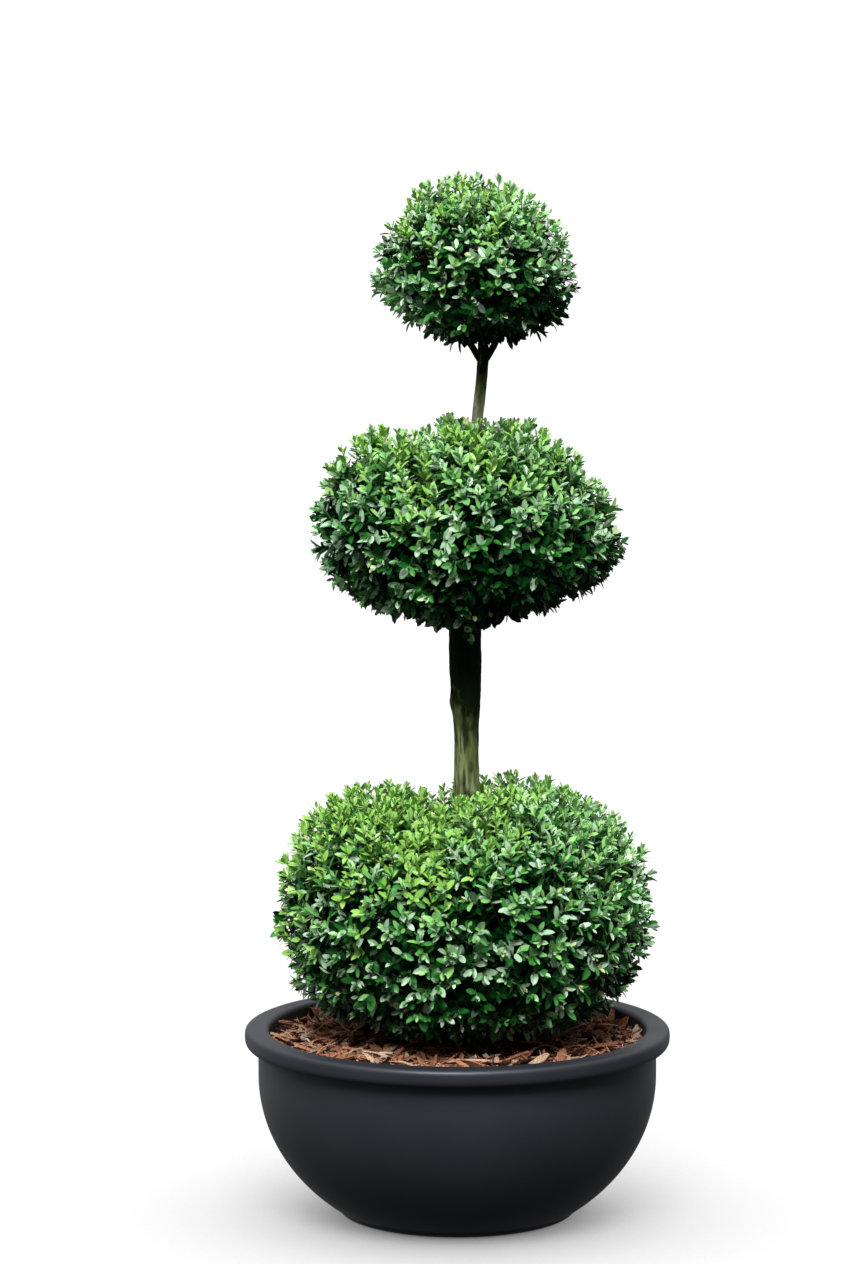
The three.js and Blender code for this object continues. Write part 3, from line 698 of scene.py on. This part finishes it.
def swelling_at(tier, directions):
    """The share by which a tier's outline swells or shrinks in each direction."""
    total = 0
    for turn, rise, size in tier.swellings:
        turn, rise = math.radians(turn), math.radians(rise)
        way = [math.cos(rise) * math.cos(turn), math.cos(rise) * math.sin(turn), math.sin(rise)]
        apart = np.degrees(np.arccos(np.clip(directions @ way, -1, 1)))
        total = total + size * bell(apart, outline.swelling_spread)
    return total


def reach(tier, directions, lumps=outline.lumps):
    """How far a tier's outline lies from the middle of its widest line, in each direction."""
    x, y, z = directions.T
    power = tier.squareness
    level = np.hypot(x, y) / tier.radius
    upright = np.abs(z) / np.where(z > 0, tier.rise, tier.drop)
    even = (level**power + upright**power) ** (-1 / power)
    bearing, lean = np.arctan2(y, x), np.arcsin(np.clip(z, -1, 1))
    (few, many), (slow, quick) = outline.round_waves, outline.lean_waves
    lump = np.sin(few * bearing + tier.seed) * np.cos(slow * lean) + np.sin(many * bearing + quick * lean)
    depth, cleft_lean, spread = tier.cleft
    from_cleft = np.degrees(np.arctan2(x, z)) - cleft_lean
    hollow = depth / tier.rise * bell(from_cleft, spread) * np.maximum(0, z)
    return even * (1 + lumps * lump / 2 - hollow + swelling_at(tier, directions))


def tier_middle(tier):
    return np.array([tier.x, 0.0, tier.widest])


def outwards(tier, points):
    """The way square to the tier's outline, at points given from its middle."""
    def level(at):
        distance = np.linalg.norm(at, axis=1)
        return distance / reach(tier, at / distance[:, None])
    nudges = outline.nudge * np.eye(3)
    return unit(np.stack([level(points + nudge) - level(points - nudge) for nudge in nudges], 1))


def spread_over(tier, count, rng, jitter):
    """Directions spread evenly over a tier's surface, by area and the golden angle."""
    lean = np.linspace(-math.pi / 2, math.pi / 2, spacing.leans)
    line = np.stack([np.zeros_like(lean), np.cos(lean), np.sin(lean)], 1)
    line = line * reach(tier, line, 0)[:, None]
    steps = np.linalg.norm(np.diff(line, axis=0), axis=1) * (line[1:, 1] + line[:-1, 1])
    area = np.concatenate([[0], np.cumsum(steps)])
    share = (np.arange(count) + rng.uniform(*spacing.within, count)) / count
    at, turn = np.interp(share * area[-1], area, lean), np.arange(count) * GOLDEN
    found = np.stack([np.cos(at) * np.cos(turn), np.cos(at) * np.sin(turn), np.sin(at)], 1)
    return unit(found + rng.normal(0, jitter * math.sqrt(4 * math.pi / count), found.shape))


def clear_of_trunk(points, gap):
    aside = np.hypot(points[:, 0] - trunk_x(points[:, 2]), points[:, 1])
    return (aside > trunk_radius(points[:, 2]) + gap) | (points[:, 2] > trunk.tip)


def patches(points, size):
    return np.array([noise.noise(Vector(point / size)) for point in points])


# Foliage

def shoot_ways(directions, normal, rng):
    """The way each shoot grows: outwards, upwards on top, and level on a tier's underside."""
    under = smoothstep(-normal[:, 2], *shoot.level_from)[:, None]
    level = unit(directions * [1, 1, 0])
    upward = shoot.upward * smoothstep(normal[:, 2], *shoot.upward_from)[:, None] * UP
    way = shoot.outward * normal + upward + shoot.level * under * level
    way = way + rng.normal(0, shoot.stray, directions.shape)
    way[:, 2] = np.maximum(way[:, 2], shoot.lowest)
    return way


def shoot_growth(tier, tips, normal, inner, rng):
    """How fresh and how lit each shoot's growth is, with painted light on top and on the lit left and painted
    shade below and further in, and its chance of standing in the sun.
    """
    facing_up = normal[:, 2]
    to_left = np.clip((tier.x - tips[:, 0]) / tier.radius, -1, 1)
    fresh_and_lit = tier.tone + tier.slope * np.maximum(facing_up, growth.lowest)
    fresh_and_lit = fresh_and_lit + growth.patch_depth * patches(tips, growth.patch) + rng.normal(0, growth.stray, len(tips))
    shaded = smoothstep(-facing_up, *growth.shaded_from)
    fresh_and_lit += (tier.lit_left * np.maximum(to_left, 0) - tier.shade) * shaded
    fresh_and_lit -= lerp(*growth.inner_fall, smoothstep(facing_up, *growth.inner_from)) * inner
    towards_sun = tier.sun_side * to_left + growth.sun_above * facing_up
    return fresh_and_lit, tier.sunny * smoothstep(towards_sun, *growth.sun_from)


def grow_shoots(tier, rng):
    """A tier's shoots: tips, ways, outward normals, how fresh and how lit each one's growth is, and its
    chance of sun.
    """
    outer = spread_over(tier, tier.shoots, rng, shoot.outer_jitter)
    directions = np.concatenate([outer, spread_over(tier, tier.inner, rng, shoot.inner_jitter)])
    inner = np.arange(len(directions)) >= tier.shoots
    far = reach(tier, directions)
    at_surface = tier_middle(tier) + directions * far[:, None]
    hollows = smoothstep(-patches(at_surface, shoot.clump), 0, shoot.clump_full)
    share = rng.uniform(0, 1, len(directions))
    outer_sunk = shoot.tip_inset + shoot.ragged * share**2
    sunk = np.where(inner, shoot.inner_from + shoot.inner_depth * share, outer_sunk)
    from_trunk = np.hypot(at_surface[:, 0] - trunk_x(at_surface[:, 2]), at_surface[:, 1])
    dip = tier.dip * bell(from_trunk, shoot.dip_width) * (directions[:, 2] > 0)
    sunk += shoot.clump_depth * hollows + dip
    from_middle = directions * (far - sunk)[:, None]
    normal = outwards(tier, from_middle)
    way = shoot_ways(directions, normal, rng)
    tips = tier_middle(tier) + from_middle
    fresh_and_lit, sunny = shoot_growth(tier, tips, normal, inner, rng)
    kept = clear_of_trunk(tips, shoot.trunk_gap)
    sprigs = np.array(tier.sprigs, float).reshape(-1, 4)
    hanging = np.repeat([HANGING], len(sprigs), 0)
    return (np.concatenate([tips[kept], sprigs[:, :3]]), unit(np.concatenate([way[kept], hanging])),
            unit(np.concatenate([normal[kept], hanging])), np.concatenate([fresh_and_lit[kept], sprigs[:, 3]]),
            np.concatenate([sunny[kept], np.zeros(len(sprigs))]))


def deal_tints(tier, fresh_and_lit, sunny, facing_up, rng):
    """A tint for each leaf of each shoot: bright on fresh and lit tips, darker below and further in as
    painted shade.
    """
    shape = (len(fresh_and_lit), len(PAIR_DEPTH), 2)
    pair = np.arange(len(PAIR_DEPTH))[None, :, None] + np.zeros(shape)
    stray = rng.normal(tinting.lift, tinting.stray, shape)
    score = fresh_and_lit[:, None, None] - tinting.age_step * np.maximum(0, pair - 1) + stray
    lit = score > tinting.lit_over
    dealt = np.array(list(LEAF_TINTS))[np.digitize(score, TINT_STEPS)]
    in_sun = (rng.uniform(0, 1, len(fresh_and_lit)) < sunny)[:, None, None] & lit
    dealt[in_sun] = "sunny"
    on_top = smoothstep(facing_up, *tinting.top_from)[:, None, None]
    # Painted sheen: a pale tint, most on lit leaves, fewer on tops and in dim places
    waxy = tier.waxy * lerp(1, tinting.waxy_on_top, on_top) * np.where(lit, 1, tinting.waxy_where_dim)
    waxy = np.where(score > tinting.waxy_over, waxy, 0)
    dealt[(rng.uniform(0, 1, shape) < waxy) & ~in_sun] = "waxy"
    dealt[(rng.uniform(0, 1, len(fresh_and_lit)) < tinting.pale_share)[:, None, None] & (pair == 0)] = "pale"
    return dealt


def grow_leaves(tier, tips, way, normal, fresh_and_lit, rng):
    """Crossed pairs of leaves down each shoot: roots, ways, facings and lengths."""
    shape = (len(tips), len(PAIR_DEPTH), 2)
    depth, share, splay = (values[None, :, None] for values in (PAIR_DEPTH, PAIR_SIZE, PAIR_SPLAY))
    aside = unit(np.cross(way, UP) + rng.normal(0, leaf.axis_stray, way.shape))
    other = np.cross(way, aside)
    new = smoothstep(fresh_and_lit, *leaf.fresh_from)[:, None, None]
    first_turn = rng.uniform(0, math.pi, len(tips))[:, None, None]
    crossed = first_turn + np.arange(len(PAIR_DEPTH))[None, :, None] * math.pi / 2
    angle = crossed + np.array([0, math.pi]) + rng.normal(0, leaf.turn_stray, shape)
    splay = splay * lerp(1, leaf.fresh_splay, new) + rng.normal(0, leaf.splay_stray, shape)
    aside, other, along, outward = (values[:, None, None] for values in (aside, other, way, normal))
    out = aside * np.cos(angle)[..., None] + other * np.sin(angle)[..., None]
    ways = unit(along * np.cos(splay)[..., None] + out * np.sin(splay)[..., None])
    stretch = rng.uniform(*leaf.stretch, len(tips))[:, None, None] * lerp(1, leaf.fresh_stretch, new)
    roots = tips[:, None, None] - along * (depth * stretch + np.zeros(shape))[..., None]
    facing = leaf.face_along * along + leaf.face_out * outward + leaf.face_up * UP
    facing = facing + rng.normal(0, leaf.face_stray, (*shape, 3))
    size = tier.leaf * (leaf.size - leaf.size_fall * normal[:, 2] + rng.normal(0, leaf.size_stray, len(tips)))
    lengths = share * size[:, None, None] * rng.normal(1, leaf.length_stray, shape)
    return roots.reshape(-1, 3), ways.reshape(-1, 3), facing.reshape(-1, 3), lengths.ravel()


def leaf_blades(roots, ways, facing, length, width, fold, droop):
    """Leaves of two halves, six faces each, creased along the midrib. Returns points and triangles."""
    face = unit(facing - ways * np.sum(facing * ways, 1, keepdims=True))
    across = np.cross(ways, face)
    along = np.tile(HALF_ALONG, 2)
    side = np.concatenate([-HALF_ASIDE / 2, HALF_ASIDE / 2])
    lift = np.abs(side) * (fold * width)[:, None] - along**2 * (droop * length)[:, None]
    points = (roots[:, None] + ways[:, None] * (along * length[:, None])[..., None]
              + across[:, None] * (side * width[:, None])[..., None] + face[:, None] * lift[..., None])
    faces = np.concatenate([HALF_FACES, HALF_FACES[:, ::-1] + len(HALF_ALONG)])
    return points.reshape(-1, 3), repeated(faces, len(roots), len(along))


def grow_branches(tier, bases, rng):
    """Branches from the shoots' bases inwards, then limbs to the trunk: starts, ends and radii by order."""
    middle = tier_middle(tier)
    ends, radius = bases, shoot.base_radius
    for share, meeting, thicker in BRANCH_ORDERS:
        directions = spread_over(tier, max(tier.limbs, len(ends) // meeting), rng, branch.jitter)
        forks = middle + directions * (reach(tier, directions) * share)[:, None] - UP * branch.sag * tier.rise
        nearest = np.argmin(((ends[:, None] - forks[None]) ** 2).sum(-1), 1)
        yield forks[nearest], ends, thicker, radius
        ends, radius = forks, thicker
    height = middle[2] + (ends[:, 2] - middle[2]) * limb.follow - limb.fall * tier.radius
    highest = min(middle[2] + limb.highest * tier.rise, trunk.tip - limb.below_tip)
    height = np.clip(height, middle[2] - limb.lowest * tier.drop, highest)
    on_trunk = np.stack([trunk_x(height), np.zeros_like(height), height], 1)
    yield on_trunk, ends, min(limb.radius, limb.trunk_share * trunk_radius(height).min()), radius


def make_leaves(tier, shoots, leaf_materials, rng):
    """A tier's leaves, in pieces of one tint."""
    tips, way, normal, fresh_and_lit, sunny = shoots
    tints = deal_tints(tier, fresh_and_lit, sunny, normal[:, 2], rng).ravel()
    roots, ways, facing, length = grow_leaves(tier, tips, way, normal, fresh_and_lit, rng)
    ends = roots + ways * length[:, None]
    kept = clear_of_trunk(roots, leaf.trunk_gap) & clear_of_trunk(ends, leaf.trunk_gap)
    kept &= ends[:, 2] > pot.height - leaf.below_rim
    width = length * rng.normal(tier.slim, leaf.slim_stray, len(length))
    fold, droop = rng.uniform(*leaf.fold, len(length)), rng.uniform(*leaf.droop, len(length))
    shapes = (roots, ways, facing, length, width, fold, droop)
    for tint, made in leaf_materials.items():
        alike = np.flatnonzero(kept & (tints == tint))
        pieces = np.array_split(alike, math.ceil(len(alike) / LEAVES_IN_PIECE))
        for number, some in enumerate(pieces, 1):
            points, faces = leaf_blades(*(values[some] for values in shapes))
            name = f"leaves_{tier.name}_{tint}_{number}"
            joined(name, points, faces, made, "foliage", "foliage_" + tier.name)


def make_shoots(tier, bases, tips, green_twig, rng):
    bends = lerp(bases, tips, 0.5) + rng.normal(0, shoot.bend, tips.shape)
    points, faces = twigs(bases, bends, tips, shoot.base_radius, shoot.tip_radius, shoot.sides)
    joined("shoots_" + tier.name, points, faces, green_twig, "foliage", "foliage_" + tier.name)


def make_branches(tier, bases, brown_twig, rng):
    all_points, all_faces, count = [], [], 0
    for starts, ends, low, high in grow_branches(tier, bases, rng):
        span = np.linalg.norm(ends - starts, axis=1, keepdims=True)
        bends = lerp(starts, ends, 0.5) + rng.normal(0, branch.bend, starts.shape) * span
        points, faces = twigs(starts, bends, ends, low, high, branch.sides)
        all_points.append(points)
        all_faces.append(faces + count)
        count += len(points)
    joined("branches_" + tier.name, np.concatenate(all_points), np.concatenate(all_faces), brown_twig,
           "bark", "foliage_" + tier.name)


def make_tier(tier, leaf_materials, green_twig, brown_twig):
    rng = np.random.default_rng(tier.seed)
    shoots = grow_shoots(tier, rng)
    make_leaves(tier, shoots, leaf_materials, rng)
    tips, way = shoots[:2]
    bases = tips - way * shoot.length
    make_shoots(tier, bases, tips, green_twig, rng)
    make_branches(tier, bases, brown_twig, rng)


# Stage

def make_floor():
    half = floor_look.half
    corners = [(-half, -half, 0), (half, -half, 0), (half, half, 0), (-half, half, 0)]
    mesh = bpy.data.meshes.new("floor")
    mesh.from_pydata(corners, [], [(0, 1, 2, 3)])
    white = plain("floor_white", [floor_look.grey] * 3, roughness=1.0, specular=0.0)
    nodes = Nodes(white)
    # The floor's glow is painted light, dimmed as a painted contact shadow where the plant closes off the sky
    distance = {"Distance": floor_look.reach}
    open_sky = nodes.add("ShaderNodeAmbientOcclusion", distance, samples=floor_look.samples).outputs["AO"]
    glow = nodes.span(open_sky, *floor_look.open_range, *floor_look.glow)
    nodes.wire(emission_color=WHITE, emission_strength=glow)
    mesh.materials.append(white)
    floor = bpy.data.objects.new("floor", mesh)
    bpy.context.scene.collection.objects.link(floor)
    floor.visible_diffuse = False
    floor.visible_glossy = False


def make_sky():
    """A white sky, brightest overhead and a little behind, and a faint light from the ground."""
    world = bpy.data.worlds.new("studio")
    bpy.context.scene.world = world
    world.use_nodes = True
    nodes = Nodes(world)
    where = nodes.add("ShaderNodeTexCoord", {}).outputs["Generated"]
    brightest = Vector(sky_look.brightest).normalized()
    towards = nodes.add("ShaderNodeVectorMath", {0: where, 1: brightest}, operation="DOT_PRODUCT")
    parted = nodes.add("ShaderNodeSeparateXYZ", {"Vector": where})
    along, height = parted.outputs["X"], parted.outputs["Z"]
    sky = nodes.span(towards.outputs["Value"], *sky_look.towards, *sky_look.strength)
    below = nodes.span(height, *ground_look.below, *ground_look.strength)
    deeper = nodes.span(height, *ground_look.deeper, *ground_look.deeper_share)
    across = nodes.span(along, *ground_look.across, *ground_look.across_share)
    ground = nodes.maths("MULTIPLY", nodes.maths("MULTIPLY", below, deeper), across)
    background = world.node_tree.nodes["Background"]
    nodes.put(background.inputs["Strength"], nodes.maths("ADD", sky, ground))
    nodes.put(background.inputs["Color"], WHITE)


def make_key():
    """A broad light high in front."""
    sun = bpy.data.lights.new("key", "SUN")
    sun.energy = key_look.energy
    sun.angle = math.radians(key_look.angle)
    key = bpy.data.objects.new("key", sun)
    key.rotation_euler = Vector(key_look.heading).to_track_quat("-Z", "Y").to_euler()
    bpy.context.scene.collection.objects.link(key)


def make_camera():
    lens = bpy.data.cameras.new("camera")
    lens.lens = view.lens
    lens.clip_end = view.clip_end
    camera = bpy.data.objects.new("camera", lens)
    camera.location = view.eye
    camera.rotation_euler = (Vector(view.aim) - camera.location).to_track_quat("-Z", "Y").to_euler()
    bpy.context.scene.collection.objects.link(camera)
    bpy.context.scene.camera = camera
    bpy.context.scene.view_settings.view_transform = "Standard"


make_floor()
make_sky()
make_key()
make_camera()
make_planter()
make_mulch()
bark = bark_material()
make_trunk(bark)
for name in BOUGH_TURNS:
    make_bough(name, bark)
leaf_materials = {
    name: plain("leaf_" + name, colour, LEAF_ROUGHNESS, gloss) for name, (colour, gloss) in LEAF_TINTS.items()
}
green_twig, brown_twig = (plain(name, *look) for name, look in TWIG_LOOKS.items())
for tier in tiers:
    make_tier(tier, leaf_materials, green_twig, brown_twig)
